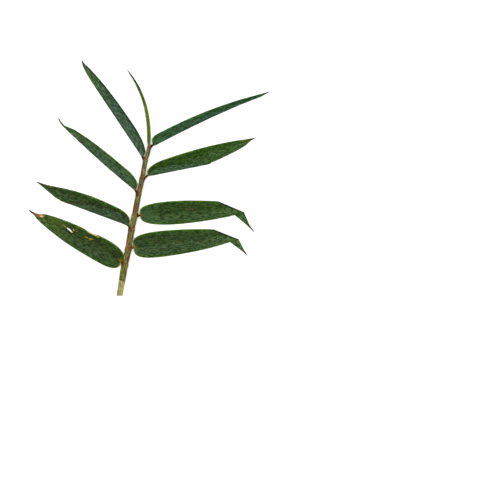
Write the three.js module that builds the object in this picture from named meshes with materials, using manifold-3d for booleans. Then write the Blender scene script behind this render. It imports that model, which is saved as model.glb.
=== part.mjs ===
// A pressed stem of dwarf bamboo, lying flat, in millimetres.
// The stem runs along +Y from its cut end, +Z points up from the surface it lies on.
// Every leaf is one piece: a sheath that wraps the culm, a short stalk, and a blade.
// The origin is under the middle of the outline.

import * as THREE from 'three';
import { mergeVertices } from 'three/addons/utils/BufferGeometryUtils.js';
import Module from 'manifold-3d';

const wasm = await Module();
wasm.setup();

// The stem
const stemFoot = [-3.8, -56.96];   // middle of the cut end, from the origin
const culmSides = 12;
const pressed = 0.6;               // the culm's thickness against its width
// Knots of the stem: place along it, stray to the right, height of its axis, and half the culm's
// width. The bare foot ends at a swollen node, and the rest runs inside the sheaths.
const knots = [[0, -0.15, 0.98, 1.48], [5.7, -0.25, 1.2, 1.44], [6.8, -0.27, 1.25, 1.62],
  [7.9, -0.29, 1.3, 1.38], [15.6, -0.42, 1.46, 1.34], [24, -0.24, 1.5, 1.32], [34, -0.5, 1.5, 1.27],
  [41, -0.3, 1.48, 1.17], [52, -0.4, 1.42, 1.06], [60, -0.14, 1.34, 0.98], [69, -0.36, 1.24, 0.86],
  [74.7, 0.14, 1.14, 0.66]];
const culmEnd = 74.7;              // the culm stops inside the last sheath

// The sheaths
const slack = 0.09;                // clearance round whatever a sheath wraps
const wallThin = 0.14;             // wall of a sheath on an infinitely thin culm
const wallGrowth = 0.08;           // and what it gains for each mm of culm half width
const footShare = 0.65;            // the foot's and lip's wall against the full wall
const lap = 1.2;                   // how far a sheath's foot stands inside the mouth below
const mouthTilt = 0.45;            // the mouth is higher on the side of its blade
const flareStart = 2.6;            // a sheath starts to flare this far below its mouth
const flareFull = 1.5;             // and from here up it is full

// The blades
const bladeThick = 0.6;
const thinEnd = 0.28;              // half width where a blade starts and ends
const ribHeight = 0.16;            // the midrib above the blade
const ribShare = 0.09;             // half the rib's width against half the blade's
const firstRow = 0.25;             // the first row of a blade against the next ones
const flatShare = 0.35;            // this share of the blade beside the rib lies flat
const sunk = 0.15;                 // how far folded layers run into each other at a crease
const gape = 0.5;                  // how far a folded flap stands off at its free edge
const footLift = 0.55;             // the foot of a blade above the surface
const footFade = 4.5;              // over this length it comes down

// Leaves from the cut end up. side: 1 right, -1 left. mouth: top of the sheath along the stem.
// foot: where the blade starts, out from the stem's line and along it. turn: degrees away from the stem.
// half, low: greatest width of the upper and lower half. widest: where, as a share of the length.
// round, lowRound: how square the foot is. taper, point: how full the blade stays, and how sharp it ends.
// bow, bowIn, bowOut: sideways bend, and how soon it starts and ends. wave, waves: the edges' waves.
// flap: lower side folded over the blade, up to a share of its length, where the crease has dropped;
// it is wide across and fades out. tuck: tip folded back underneath, with its crease from the upper
// margin to the lower one. bites: holes, by place and half size.
const leaves = [
  { name: 'leaf_left_1', side: -1, mouth: 16.5, foot: [2.25, 17.0], turn: 72.2, length: 52.4,
    half: 6.15, low: 6.2, widest: 0.29, round: 2.8, lowRound: 4.05, taper: 2.84, point: 0.85,
    lowPoint: 1.09, bow: -0.68, bowIn: 1, bowOut: 12, wave: 0.5, waves: 2.2,
    bites: [{ at: [30.6, 1.5], half: [1.6, 0.75], turn: -10 },
      { at: [21.5, 6.3], half: [4.4, 0.9], turn: -6 },
      { at: [48.8, 1.6], half: [3.2, 0.75], turn: -16 }] },
  { name: 'leaf_right_1', side: 1, mouth: 24.6, foot: [2.37, 25.1], turn: 72.6, length: 61.2,
    half: 6.65, low: 6.5, widest: 0.34, round: 3.9, lowRound: 3.9, taper: 3.15, point: 1.42,
    lowPoint: 1.41, bow: 0, bowIn: 1, bowOut: 1, wave: 0.45, waves: 1.7, tuck: { from: 0.66, to: 0.851 } },
  { name: 'leaf_left_2', side: -1, mouth: 34.6, foot: [2.6, 35.1], turn: 75.4, length: 50.5,
    half: 5.73, low: 4.6, widest: 0.17, round: 2.45, lowRound: 2.45, taper: 3.5, point: 1.9,
    lowPoint: 0.7, bow: 0.4, bowIn: 1, bowOut: 4, wave: 0.4, waves: 1.3,
    flap: { to: 0.68, start: 0.02, drop: 3.44, wide: 5.1, fade: 3.5 } },
  { name: 'leaf_right_2', side: 1, mouth: 41.5, foot: [2.3, 41.2], turn: 74.4, length: 62.3,
    half: 6.07, low: 6.12, widest: 0.477, round: 4.1, lowRound: 3, taper: 3.02, point: 1.6,
    lowPoint: 1.12, bow: 0, bowIn: 1, bowOut: 1, wave: 0.45, waves: 1.5, tuck: { from: 0.629, to: 0.829 } },
  { name: 'leaf_left_3', side: -1, mouth: 52.8, foot: [2.7, 53.3], turn: 57.5, length: 52.1,
    half: 5.36, low: 5, widest: 0.188, round: 2.3, lowRound: 2.3, taper: 3.48, point: 1.18,
    lowPoint: 1.18, bow: -1.55, bowIn: 3, bowOut: 25, wave: 0.3, waves: 1.5,
    flap: { to: 1, start: 0.2, drop: 0, wide: 4.75, fade: 0 } },
  { name: 'leaf_right_3', side: 1, mouth: 60.4, foot: [2.3, 61.6], turn: 59.65, length: 56.9,
    half: 4.82, low: 4.96, widest: 0.187, round: 2.5, lowRound: 2.5, taper: 3.19, point: 1.25,
    lowPoint: 0.85, bow: 0, bowIn: 1, bowOut: 1, wave: 0.4, waves: 1.6,
    flap: { to: 0.53, start: 0.4, drop: 4.3, wide: 3.2, fade: 4 } },
  { name: 'leaf_left_4', side: -1, mouth: 69.8, foot: [2.3, 69.9], turn: 43, length: 55.6,
    half: 5.2, low: 5, widest: 0.32, round: 2.8, lowRound: 2.8, taper: 3.8, point: 0.71,
    lowPoint: 0.71, bow: -1.79, bowIn: 1, bowOut: 14, wave: 0.3, waves: 1.4,
    flap: { to: 1, start: 0.2, drop: 0, wide: 4.85, fade: 0 } },
  { name: 'leaf_right_4', side: 1, mouth: 76.5, foot: [1.95, 77.25], turn: 54.6, length: 62.9,
    half: 3.85, low: 4, widest: 0.072, round: 2.7, lowRound: 2.7, taper: 2.43, point: 1.265,
    lowPoint: 1.265, bow: 1.77, bowIn: 2, bowOut: 3, wave: 0.3, waves: 1.8,
    flap: { to: 1, start: 0.8, drop: 0, wide: 3.4, fade: 0 } },
];

// The rolled leaf at the end: its half width by the length along it
const roll = { name: 'rolled_leaf', side: -1, foot: [-0.12, 75.1], turn: 26.8, length: 40.1,
  bow: 5.45, bowIn: 2.6, bowOut: 3.1 };
const rollHalves = [[0, 0.6], [1.7, 0.62], [3.2, 1], [16, 0.92], [30, 0.72], [37, 0.42], [40.1, 0.2]];
const rollSeam = 0.16;             // step of the free edge of the roll

const culmColour = '#c9b98a';
const leafColour = '#4f7f45';
const rollColour = '#8fb52e';

// Value in a profile's column at a place between its points
function along(profile, place, column = 1) {
  let next = profile.findIndex((point) => point[0] > place);
  if (next < 0) next = profile.length - 1;
  next = Math.max(next, 1);
  const [start, end] = [profile[next - 1], profile[next]];
  const share = (place - start[0]) / (end[0] - start[0]);
  return start[column] + (end[column] - start[column]) * share;
}

// Closed mesh from shared corners and triangles
function closedMesh(corners, triangles) {
  const geometry = new THREE.BufferGeometry();
  geometry.setAttribute('position', new THREE.Float32BufferAttribute(corners.flat(), 3));
  geometry.setIndex(triangles.flat());
  return geometry;
}

function solidOf(geometry) {
  return new wasm.Manifold(new wasm.Mesh({ numProp: 3,
    vertProperties: new Float32Array(geometry.attributes.position.array),
    triVerts: new Uint32Array(geometry.index.array) }));
}

// Geometry of a solid; a left leaf is the mirror image of what was built
function geometryOf(solid, side) {
  const { numProp, vertProperties, triVerts } = solid.getMesh();
  const corners = [];
  for (let i = 0; i < vertProperties.length; i += numProp) {
    corners.push([side * vertProperties[i], vertProperties[i + 1], vertProperties[i + 2]]);
  }
  const triangles = [];
  for (let i = 0; i < triVerts.length; i += 3) {
    const [a, b, c] = triVerts.slice(i, i + 3);
    triangles.push(side > 0 ? [a, b, c] : [a, c, b]);
  }
  return closedMesh(corners, triangles);
}

// Tube of oval rings. A ring has a middle (x, y, z), a heading in degrees away from +Y,
// half sizes across and up, a lean of its plane, and a step where its outline closes.
function tube(rings, sides) {
  const corners = [];
  for (const ring of rings) {
    const heading = THREE.MathUtils.degToRad(ring.turn ?? 0);
    for (let k = 0; k < sides; k++) {
      const angle = 2 * Math.PI * k / sides;
      const swell = 1 + (ring.step ?? 0) * (k / sides - 0.5);
      const across = -ring.across * swell * Math.cos(angle);
      const ahead = -(ring.lean ?? 0) * Math.cos(angle);
      corners.push([ring.x + across * Math.cos(heading) + ahead * Math.sin(heading),
        ring.y - across * Math.sin(heading) + ahead * Math.cos(heading),
        ring.z + ring.up * swell * Math.sin(angle)]);
    }
  }
  const triangles = [];
  for (let i = 0; i < rings.length - 1; i++) {
    for (let k = 0; k < sides; k++) {
      const [a, b] = [i * sides + k, i * sides + (k + 1) % sides];
      triangles.push([a, b, b + sides], [a, b + sides, a + sides]);
    }
  }
  const last = (rings.length - 1) * sides;
  for (let k = 1; k < sides - 1; k++) {
    triangles.push([0, k + 1, k], [last, last + k, last + k + 1]);
  }
  return closedMesh(corners, triangles);
}

// Closed sheet over rows and columns. point(i, j) gives a corner's place and the height of its
// middle; both faces are split alike. turned: the columns run the other way round.
function sheet(rows, columns, point, turned = false) {
  const corners = [];
  for (const face of [1, -1]) {
    for (let i = 0; i <= rows; i++) {
      for (let j = 0; j <= columns; j++) {
        const [x, y, z, rib = 0] = point(i, j);
        corners.push([x, y, z + face * bladeThick / 2 + (face > 0 ? rib : 0)]);
      }
    }
  }
  const under = (rows + 1) * (columns + 1);
  const at = (i, j) => i * (columns + 1) + j;
  const quads = [];
  for (let i = 0; i < rows; i++) {
    for (let j = 0; j < columns; j++) {
      const quad = [at(i, j), at(i + 1, j), at(i + 1, j + 1), at(i, j + 1)];
      quads.push(quad);
      quads.push([quad[0], quad[3], quad[2], quad[1]].map((corner) => corner + under));
    }
    quads.push([under + at(i, 0), under + at(i + 1, 0), at(i + 1, 0), at(i, 0)]);
    quads.push([under + at(i + 1, columns), under + at(i, columns), at(i, columns), at(i + 1, columns)]);
  }
  for (let j = 0; j < columns; j++) {
    quads.push([under + at(0, j + 1), under + at(0, j), at(0, j), at(0, j + 1)]);
    quads.push([under + at(rows, j), under + at(rows, j + 1), at(rows, j + 1), at(rows, j)]);
  }
  const triangles = [];
  for (const [a, b, c, d] of quads) {
    triangles.push(...(turned ? [[a, c, b], [a, d, c]] : [[a, b, c], [a, c, d]]));
  }
  return closedMesh(corners, triangles);
}

const stemX = (y) => along(knots, y, 1);
const stemZ = (y) => along(knots, y, 2);
const culmHalf = (y) => along(knots, y, 3);
const wallAt = (y) => wallThin + wallGrowth * culmHalf(y);

// Rings round the stem at the places given and at every knot between them.
// A place holds its distance along the stem, outside the culm, and the lean of its ring.
function stemTube(places, side) {
  const between = knots.map((knot) => knot[0])
    .filter((y) => y > places[0][0] + 0.3 && y < places.at(-1)[0] - 0.3)
    .filter((y) => places.every((place) => Math.abs(place[0] - y) > 0.3))
    .map((y) => [y, along(places, y), along(places, y, 2)]);
  const rings = [...places, ...between].sort((one, other) => one[0] - other[0]);
  return tube(rings.map(([y, outside, lean]) => ({ x: side * stemX(y), y, z: stemZ(y), lean,
    across: culmHalf(y) + outside, up: culmHalf(y) * pressed + outside })), culmSides);
}

// Outside and bore of a sheath, which flares round the foot of the next one
function makeSheath(leaf, foot) {
  const top = leaf.mouth;
  const thin = (y) => slack + footShare * wallAt(y);
  const mouthBore = slack + thin(top);
  const lip = slack + thin(top) + footShare * wallAt(top);
  const outside = [[foot, thin(foot), 0], [foot + 2 * lap, thin(foot), 0],
    [foot + 3 * lap, slack + wallAt(foot), 0], [top - flareStart, slack + wallAt(top), 0],
    [top - flareFull, lip, mouthTilt / 2], [top, lip, mouthTilt]];
  const bore = [[foot - 0.5, slack, 0], [top - flareStart - 0.2, slack, 0],
    [top - flareFull - 0.3, mouthBore, mouthTilt / 2], [top + 0.8, mouthBore, mouthTilt]];
  return [stemTube(outside, leaf.side), stemTube(bore, leaf.side)].map(solidOf);
}

// Half width of a blade on its upper or lower side, x from 0 at its foot to 1 at its tip
function halfWidth(leaf, x, half = leaf.half, point = leaf.point, round = leaf.round) {
  const foot = (1 - Math.max(0, 1 - x / leaf.widest) ** round) ** (1 / round);
  return Math.max(thinEnd, half * foot * (1 - x ** leaf.taper) ** point);
}

const lowerHalf = (leaf, x) => halfWidth(leaf, x, leaf.low, leaf.lowPoint, leaf.lowRound);

// Place on the blade: u along it, v across it towards the stem's tip
function bladePlace(leaf, u, v) {
  const heading = THREE.MathUtils.degToRad(leaf.turn);
  const x = THREE.MathUtils.clamp(u / leaf.length, 0, 1);
  const across = v + leaf.bow * (1 - (1 - x) ** leaf.bowIn) * (1 - x ** leaf.bowOut);
  return [leaf.foot[0] + u * Math.sin(heading) - across * Math.cos(heading),
    leaf.foot[1] + u * Math.cos(heading) + across * Math.sin(heading)];
}

// Height of the middle of the blade
function bladeHeight(leaf, u, v) {
  const x = u / leaf.length;
  const share = Math.abs(v) / halfWidth(leaf, x);
  const edge = THREE.MathUtils.clamp((share - flatShare) / (1 - flatShare), 0, 1.2);
  const wave = 0.5 - 0.5 * Math.cos(2 * Math.PI * leaf.waves * x + (v > 0 ? 0.6 : 2.1));
  const ends = Math.min(1, 8 * x, 6 * (1 - x));
  const foot = footLift * Math.max(0, 1 - u / footFade) ** 2;
  const over = leaf.tuck ? THREE.MathUtils.smoothstep(x, leaf.tuck.from - 0.2, leaf.tuck.from) : 0;
  const tuck = (bladeThick - sunk) * over;
  return bladeThick / 2 + foot + leaf.wave * edge ** 2 * wave * ends + tuck;
}

// Rows stand closer together at the foot of a blade, the first two most of all
function rowAt(i, rows, end = 1) {
  const share = i < 2 ? i * firstRow / (rows - 1) : (i - 1) / (rows - 1);
  return end * (0.72 * share ** 2 + 0.28 * share);
}

// Rib stands up at the middle of a blade
function ribAt(v, half) {
  return ribHeight * Math.max(0, 1 - Math.abs(v) / (ribShare * half));
}

// Lower edge of the blade's flat part, where the lower side may be folded over
function lowerEdge(leaf, x) {
  const margin = -lowerHalf(leaf, x);
  if (!leaf.flap) return margin;
  const crease = -leaf.flap.start - leaf.flap.drop * Math.min(1, x / leaf.flap.to);
  return x < leaf.flap.to ? Math.max(crease, margin) : margin;
}

// The crease of a tucked tip runs from the upper margin to the lower one
function creaseOf(leaf) {
  const start = new THREE.Vector2(leaf.tuck.from * leaf.length, halfWidth(leaf, leaf.tuck.from));
  const end = new THREE.Vector2(leaf.tuck.to * leaf.length, -lowerHalf(leaf, leaf.tuck.to));
  return { start, end, direction: end.clone().sub(start).normalize() };
}

function creaseAt(leaf, x) {
  const { start, end } = creaseOf(leaf);
  return start.y + (end.y - start.y) * (x * leaf.length - start.x) / (end.x - start.x);
}

const openShares = [-1, -0.7, -0.35, -0.09, 0, 0.09, 0.35, 0.7, 1];
const foldedShares = [0, 0.12, 0.35, 0.7, 1];

// The part of the blade that lies flat
function makeBlade(leaf) {
  const shares = leaf.flap?.to === 1 ? foldedShares : openShares;
  const end = leaf.tuck ? leaf.tuck.to - 0.002 : 1;
  const rows = 20;
  return sheet(rows, shares.length - 1, (i, j) => {
    const x = rowAt(i, rows, end);
    const upper = leaf.tuck ? Math.min(halfWidth(leaf, x), creaseAt(leaf, x)) : halfWidth(leaf, x);
    const lower = lowerEdge(leaf, x);
    const share = shares[j];
    let v = share < 0 ? -share * lower : share * upper;
    if (shares === foldedShares) v = lower + share * (upper - lower);
    if (leaf.tuck && upper < thinEnd) v = lower + (upper - lower) * j / (shares.length - 1);
    const u = x * leaf.length;
    const rib = shares === openShares ? ribAt(v, halfWidth(leaf, x)) : 0;
    return [...bladePlace(leaf, u, v), bladeHeight(leaf, u, v), rib];
  });
}

// The lower side of the blade, folded over onto the upper side
function makeFlap(leaf) {
  const { flap } = leaf;
  const rows = 14;
  const columns = 3;
  return sheet(rows, columns, (i, j) => {
    const x = 0.004 + rowAt(i, rows, flap.to - 0.012);
    const room = halfWidth(leaf, x) - lowerEdge(leaf, x);
    const margin = flap.to === 1 ? halfWidth(leaf, x, flap.wide)
      : halfWidth(leaf, x, flap.wide) * (1 - (x / flap.to) ** flap.fade);
    const wide = Math.min(Math.max(margin, thinEnd), room - 0.1);
    const u = x * leaf.length;
    const v = lowerEdge(leaf, x) + 0.08 + (wide - 0.08) * j / columns;
    const open = gape * (j / columns) * Math.min(1, wide / 2);
    return [...bladePlace(leaf, u, v), bladeHeight(leaf, u, v) + bladeThick - sunk + open];
  });
}

// The tip of the blade, folded back under it
function makeTuckedTip(leaf) {
  const { start, direction } = creaseOf(leaf);
  const rows = 9;
  const columns = 2;
  const first = leaf.tuck.from + 0.02;
  return sheet(rows, columns, (i, j) => {
    const x = first + (1 - first) * i / rows;
    const lower = Math.max(-lowerHalf(leaf, x), Math.min(creaseAt(leaf, x), halfWidth(leaf, x) - 0.3));
    const v = lower + (halfWidth(leaf, x) - lower) * j / columns;
    const out = new THREE.Vector2(x * leaf.length, v).sub(start);
    const run = direction.clone().multiplyScalar(2 * out.dot(direction));
    const back = run.sub(out).add(start);
    return [...bladePlace(leaf, back.x, back.y), bladeThick / 2];
  }, true);
}

// Stalk between the mouth of the sheath and the foot of the blade
function makeStalk(leaf) {
  const heading = THREE.MathUtils.degToRad(leaf.turn);
  const inner = [leaf.side * stemX(leaf.mouth - 0.9) + 0.6, leaf.mouth - 1];
  const ends = [[0, 0.95, 0.62], [0.35, 0.85, 0.6], [0.62, 0.5, 0.42], [1, 0.45, 0.36]];
  const rings = ends.map(([share, across, up]) => ({
    x: inner[0] + (leaf.foot[0] - inner[0]) * share, y: inner[1] + (leaf.foot[1] - inner[1]) * share,
    z: stemZ(leaf.mouth) + (bladeThick / 2 + footLift - stemZ(leaf.mouth)) * share ** 1.5,
    turn: THREE.MathUtils.lerp(80, leaf.turn, share), across, up }));
  const inside = 1.6;
  rings.push({ x: leaf.foot[0] + inside * Math.sin(heading), y: leaf.foot[1] + inside * Math.cos(heading),
    z: bladeHeight(leaf, inside, 0), turn: leaf.turn, across: 0.3, up: bladeThick / 2 + 0.04 });
  return solidOf(tube(rings, 10));
}

// Upright oval punch for holes and bitten edges
function punch(leaf, bite) {
  const geometry = new THREE.CylinderGeometry(1, 1, 6, 12);
  geometry.deleteAttribute('uv').deleteAttribute('normal');
  const heading = THREE.MathUtils.degToRad(90 - leaf.turn + bite.turn);
  geometry.rotateX(Math.PI / 2).scale(...bite.half, 1).rotateZ(heading);
  return solidOf(mergeVertices(geometry.translate(...bladePlace(leaf, ...bite.at), 1)));
}

function makeLeaf(leaf, sheathFoot) {
  const [sheath, bore] = makeSheath(leaf, sheathFoot);
  let blade = solidOf(makeBlade(leaf));
  if (leaf.flap) blade = blade.add(solidOf(makeFlap(leaf)));
  if (leaf.tuck) blade = blade.add(solidOf(makeTuckedTip(leaf)));
  for (const bite of leaf.bites ?? []) blade = blade.subtract(punch(leaf, bite));
  return geometryOf(sheath.add(makeStalk(leaf)).subtract(bore).add(blade), leaf.side);
}

function makeRoll() {
  const rings = [];
  const count = 18;
  for (let i = 0; i <= count; i++) {
    const u = roll.length * (0.4 * (i / count) ** 2 + 0.6 * i / count);
    const [x, y] = bladePlace(roll, u, 0);
    const [nextX, nextY] = bladePlace(roll, u + 0.1, 0);
    const half = along(rollHalves, u);
    const low = half * 0.75 + 0.06;
    rings.push({ x, y, z: THREE.MathUtils.lerp(stemZ(y), low, THREE.MathUtils.smoothstep(u, 2, 12)),
      turn: THREE.MathUtils.radToDeg(Math.atan2(nextX - x, nextY - y)), across: half, up: half * 0.75,
      step: u > 2 ? rollSeam : 0 });
  }
  return geometryOf(solidOf(tube(rings, 12)), roll.side);
}

function named(name, geometry, color) {
  const shape = geometry.toNonIndexed();
  shape.computeVertexNormals();
  const mesh = new THREE.Mesh(shape, new THREE.MeshStandardMaterial({ color, roughness: 0.7, metalness: 0 }));
  mesh.name = name;
  return mesh;
}

const stem = new THREE.Group();
stem.add(named('culm', stemTube([[0, 0, 0], [culmEnd, 0, 0]], 1), culmColour));
let sheathFoot = 8.3;
for (const leaf of leaves) {
  stem.add(named(leaf.name, makeLeaf(leaf, sheathFoot), leafColour));
  sheathFoot = leaf.mouth - lap;
}
stem.add(named(roll.name, makeRoll(), rollColour));
stem.position.set(stemFoot[0], stemFoot[1], 0);

const pressedStem = new THREE.Group();
pressedStem.add(stem);
export default pressedStem;
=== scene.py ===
from math import atan, atan2, cos, degrees, exp, hypot, pi, radians, sin, sqrt

import bpy
from mathutils import Matrix, Vector, noise


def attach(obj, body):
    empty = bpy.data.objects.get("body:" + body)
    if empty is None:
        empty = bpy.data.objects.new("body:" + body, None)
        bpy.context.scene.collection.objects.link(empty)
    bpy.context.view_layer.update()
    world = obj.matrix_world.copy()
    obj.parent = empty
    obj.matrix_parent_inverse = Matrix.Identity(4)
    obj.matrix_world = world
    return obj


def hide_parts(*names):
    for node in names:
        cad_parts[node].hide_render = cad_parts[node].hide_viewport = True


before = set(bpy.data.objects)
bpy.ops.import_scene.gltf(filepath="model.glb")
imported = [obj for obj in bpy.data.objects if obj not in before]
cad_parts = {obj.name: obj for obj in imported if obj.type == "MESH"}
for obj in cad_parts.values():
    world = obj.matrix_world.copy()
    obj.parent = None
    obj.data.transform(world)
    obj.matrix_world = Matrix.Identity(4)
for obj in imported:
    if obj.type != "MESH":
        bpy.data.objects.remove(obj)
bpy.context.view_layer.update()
print("frame loaded")

mm = 0.001  # shapes are worked out in millimetres


# small helpers for values

def lerp(start, end, share):
    return start + (end - start) * share


def clamp(value, low=0.0, high=1.0):
    return min(max(value, low), high)


def smooth(value, low, high):
    share = clamp((value - low) / (high - low))
    return share * share * (3 - 2 * share)


def rough(x, y, z):
    return noise.noise(Vector((x, y, z)))


def bump(place, height, centre, width):  # a rounded rise, or a groove if the height is below zero
    return height * exp(-((place - centre) / width) ** 2)


def along(profile, place, column=1):  # value in a profile's column, between its points
    for start, end in zip(profile, profile[1:]):
        if place <= end[0] or end is profile[-1]:
            return lerp(start[column], end[column], (place - start[0]) / (end[0] - start[0]))


# small helpers for meshes

def deselect():
    bpy.ops.object.select_all(action="DESELECT")


def choose(piece):
    deselect()
    piece.select_set(True)
    bpy.context.view_layer.objects.active = piece


def enterEdit(kind="VERT"):
    bpy.ops.object.mode_set(mode="EDIT")
    bpy.ops.mesh.select_mode(type=kind)


def leaveEdit():
    bpy.ops.object.mode_set(mode="OBJECT")


def selectPoints(piece, test):  # leaves edit mode on, with the points that pass the test selected
    choose(piece)
    mesh = piece.data
    mesh.polygons.foreach_set("select", [False] * len(mesh.polygons))
    mesh.edges.foreach_set("select", [False] * len(mesh.edges))
    mesh.vertices.foreach_set("select", [test(point) for point in mesh.vertices])
    enterEdit()


def editWhole(piece, operator, **values):  # one edit mode operator on all of a piece
    choose(piece)
    enterEdit()
    bpy.ops.mesh.select_all(action="SELECT")
    operator(**values)
    leaveEdit()


def reshape(piece, move):  # moves each point of a mesh
    for point in piece.data.vertices:
        point.co = move(point.co.x, point.co.y, point.co.z)
    piece.data.update()


def applyModifier(piece, kind, **values):
    choose(piece)
    modifier = piece.modifiers.new(kind.lower(), kind)
    for key, value in values.items():
        setattr(modifier, key, value)
    bpy.ops.object.modifier_apply(modifier=modifier.name)


def addSheet(name, lengthCuts, widthCuts):  # flat sheet, x from 0 to 1 along and y from -1 to 1 across
    deselect()
    bpy.ops.mesh.primitive_grid_add(x_subdivisions=lengthCuts, y_subdivisions=widthCuts, size=2)
    piece = bpy.context.object
    piece.name = name
    reshape(piece, lambda x, y, z: ((x + 1) / 2, y, 0))
    return piece


def addRod(name, sides, rings):  # closed rod along z from 0 to 1, radius 1
    deselect()
    bpy.ops.mesh.primitive_cylinder_add(vertices=sides, radius=1, depth=1, location=(0, 0, 0.5))
    piece = bpy.context.object
    piece.name = name
    bpy.ops.object.transform_apply(location=True)
    if rings > 2:
        enterEdit("EDGE")
        bpy.ops.mesh.select_all(action="DESELECT")
        leaveEdit()
        points = piece.data.vertices
        for edge in piece.data.edges:  # the edges along the rod
            edge.select = points[edge.vertices[0]].co.z != points[edge.vertices[1]].co.z
        enterEdit("EDGE")
        bpy.ops.mesh.subdivide(number_cuts=rings - 2)
        leaveEdit()
    return piece


def rodTurn(point, middle):  # place round a rod, in turns, whole across the seam
    turn = atan2(point.y, point.x) / (2 * pi)
    return turn - 1 if middle.x < 0 and middle.y < 0 <= turn - 0.25 else turn


def writeMaps(piece, maps):  # share: share of the piece, size: real place in centimetres
    mesh = piece.data
    while mesh.uv_layers:
        mesh.uv_layers.remove(mesh.uv_layers[0])
    for name in ("share", "size"):
        mesh.uv_layers.new(name=name)
    shares, sizes = (layer.data for layer in mesh.uv_layers)
    for face in mesh.polygons:
        for corner in face.loop_indices:
            point = mesh.vertices[mesh.loops[corner].vertex_index].co
            shares[corner].uv, sizes[corner].uv = maps(point, face.center)


def finishPiece(piece, angle, *materials):  # edges sharper than the angle stay sharp
    for material in materials:
        piece.data.materials.append(material)
    choose(piece)
    bpy.ops.object.shade_smooth_by_angle(angle=radians(angle))


def joinPieces(name, pieces):
    choose(pieces[0])
    for piece in pieces[1:]:
        piece.select_set(True)
    bpy.ops.object.join()
    joined = bpy.context.object
    joined.name = name
    joined.data.name = name
    return joined


def handOver(piece, node):
    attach(piece, "root")
    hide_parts(node)
    print("made", piece.name, len(piece.data.polygons), "faces")


# helpers for materials

floorLight = 1.75  # light on the floor, where 1 shows white as white
sheen = 0.007      # light that the surface itself sends back
leastPaint = 0.0015
black = (0, 0, 0, 1)
paintedVeins = 14  # across a blade


def paint(red, green, blue):  # the pigment that shows this colour, of 0 to 255, in that light
    tones = [((part / 255 + 0.055) / 1.055) ** 2.4 for part in (red, green, blue)]
    return (*(max(tone - sheen, leastPaint) / floorLight for tone in tones), 1)


def addNode(tree, kind, inputs=None, **settings):
    node = tree.nodes.new(kind)
    node.location = (180 * (len(tree.nodes) % 12), -260 * (len(tree.nodes) // 12))
    for key, value in settings.items():
        setattr(node, key, value)
    feed(tree, node, inputs or {})
    return node


def feed(tree, node, inputs):  # node: the node itself, or the name of one that is there
    node = tree.nodes[node] if isinstance(node, str) else node
    for key, value in inputs.items():
        if isinstance(value, bpy.types.NodeSocket):
            tree.links.new(value, node.inputs[key])
        else:
            node.inputs[key].default_value = value


def calculate(tree, operation, *values):
    return addNode(tree, "ShaderNodeMath", dict(enumerate(values)), operation=operation).outputs[0]


def product(tree, first, second, added=0.0):
    return calculate(tree, "MULTIPLY_ADD", first, second, added)


def centred(tree, value):  # a noise, round zero
    return calculate(tree, "SUBTRACT", value, 0.5)


def vectors(tree, operation, *values):
    return addNode(tree, "ShaderNodeVectorMath", dict(enumerate(values)), operation=operation).outputs


def combine(tree, *values):
    return addNode(tree, "ShaderNodeCombineXYZ", dict(enumerate(values))).outputs[0]


def separate(tree, value):
    return addNode(tree, "ShaderNodeSeparateXYZ", {0: value}).outputs


def cloudy(tree, place, scale, detail, roughness=0.5):
    inputs = {"Vector": place, "Scale": scale, "Detail": detail, "Roughness": roughness}
    return addNode(tree, "ShaderNodeTexNoise", inputs).outputs[0]


def blend(tree, share, first, second, how="MIX"):
    inputs = {0: share, 6: first, 7: second}
    return addNode(tree, "ShaderNodeMix", inputs, data_type="RGBA", blend_type=how).outputs[2]


def tinted(tree, colour, tint):
    return blend(tree, 1.0, colour, tint, "MULTIPLY")


def ramp(tree, value, low, high, start=0.0, end=1.0):
    inputs = {"Value": value, "From Min": low, "From Max": high, "To Min": start, "To Max": end}
    return addNode(tree, "ShaderNodeMapRange", inputs, interpolation_type="SMOOTHSTEP").outputs[0]


def startGroup(name, inputs, outputs):  # None is a vector, four numbers are a colour, one is a value
    tree = bpy.data.node_groups.new(name, "ShaderNodeTree")
    for label, value in inputs.items():
        kind = "Vector" if value is None else "Color" if isinstance(value, tuple) else "Float"
        socket = tree.interface.new_socket(label, in_out="INPUT", socket_type="NodeSocket" + kind)
        if value is not None:
            socket.default_value = value
    for label in outputs:
        kind = "NodeSocketColor" if label == "colour" else "NodeSocketFloat"
        tree.interface.new_socket(label, in_out="OUTPUT", socket_type=kind)
    return tree, tree.nodes.new("NodeGroupInput").outputs


def endGroup(tree, results):
    feed(tree, tree.nodes.new("NodeGroupOutput"), results)
    return tree


def useGroup(tree, group, inputs):
    return addNode(tree, "ShaderNodeGroup", inputs, node_tree=group).outputs


def makeGrain():  # streaks that run along the fibres
    tree, source = startGroup("grain", {"place": None, "along": 1.0, "across": 8.0, "seed": 0.0},
        ["streak", "fleck"])
    stretch = combine(tree, source["along"], source["across"], 0.0)
    shift = combine(tree, 0.0, 0.0, source["seed"])
    place = vectors(tree, "ADD", vectors(tree, "MULTIPLY", source["place"], stretch)[0], shift)[0]
    return endGroup(tree, {"streak": cloudy(tree, place, 1.0, 4.0, 0.62),
        "fleck": cloudy(tree, place, 3.3, 2.0)})


def makeSpot():  # ragged oval mask at a place of the piece
    tree, source = startGroup("spot", {"place": None, "centre": None, "long": 0.2, "wide": 0.1,
        "turn": 0.0, "ragged": 0.5, "soft": 0.5}, ["mask"])
    turned = addNode(tree, "ShaderNodeVectorRotate", {"Vector": source["place"],
        "Center": source["centre"], "Angle": source["turn"]}, rotation_type="Z_AXIS").outputs[0]
    offset = vectors(tree, "SUBTRACT", turned, source["centre"])[0]
    scaled = vectors(tree, "DIVIDE", offset, combine(tree, source["long"], source["wide"], 1.0))[0]
    away = vectors(tree, "LENGTH", scaled)["Value"]
    ragged = centred(tree, cloudy(tree, source["place"], 18.0, 3.0))
    wobble = product(tree, ragged, source["ragged"], away)
    return endGroup(tree, {"mask": ramp(tree, wobble, 1.0, calculate(tree, "SUBTRACT", 1.0, source["soft"]))})


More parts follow.
